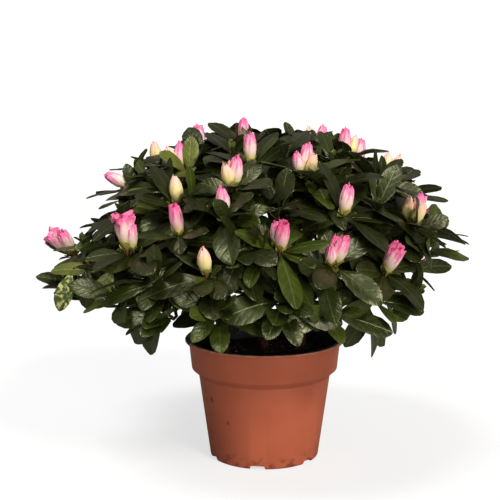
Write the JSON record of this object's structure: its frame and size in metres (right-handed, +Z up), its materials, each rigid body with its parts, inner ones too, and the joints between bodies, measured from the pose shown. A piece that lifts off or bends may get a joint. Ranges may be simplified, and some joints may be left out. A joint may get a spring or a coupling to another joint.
{
  "type": "potted azalea shrub",
  "caption": "Low, wide evergreen azalea in bud, its stems rising from peat in a round terracotta-coloured plastic pot.",
  "frame": {"origin": "centre of the pot's flat underside", "axes": "+Z up along the pot's axis, -Y towards the front of the plant, +X to its right as seen from the front"},
  "size_m": [0.3617, 0.3622, 0.2819],
  "materials": {
    "pot_plastic": "thin moulded plastic, satin terracotta outside, black inside and on the lip",
    "peat": "damp, crumbly, matt",
    "bark": "rough, reddish brown",
    "foliage": "leathery dark green leaves with a soft gloss, pink and cream flower buds"
  },
  "bodies": {
    "root": {"pot": "pot_plastic", "soil": "peat", "stem_left": "bark", "stem_middle": "bark", "stem_right": "bark", "stem_back": "bark", "bough_top": "bark", "bough_upper_front": "bark", "bough_upper_right": "bark", "bough_upper_back_right": "bark", "bough_upper_back_left": "bark", "bough_upper_left": "bark", "bough_lower_front": "bark", "bough_lower_front_right": "bark", "bough_lower_right": "bark", "bough_lower_back_right": "bark", "bough_lower_back": "bark", "bough_lower_back_left": "bark", "bough_lower_left": "bark", "bough_lower_front_left": "bark", "foliage_top": "foliage", "foliage_upper_front": "foliage", "foliage_upper_right": "foliage", "foliage_upper_back_right": "foliage", "foliage_upper_back_left": "foliage", "foliage_upper_left": "foliage", "foliage_lower_front": "foliage", "foliage_lower_front_right": "foliage", "foliage_lower_right": "foliage", "foliage_lower_back_right": "foliage", "foliage_lower_back": "foliage", "foliage_lower_back_left": "foliage", "foliage_lower_left": "foliage", "foliage_lower_front_left": "foliage"}
  },
  "joints": []
}
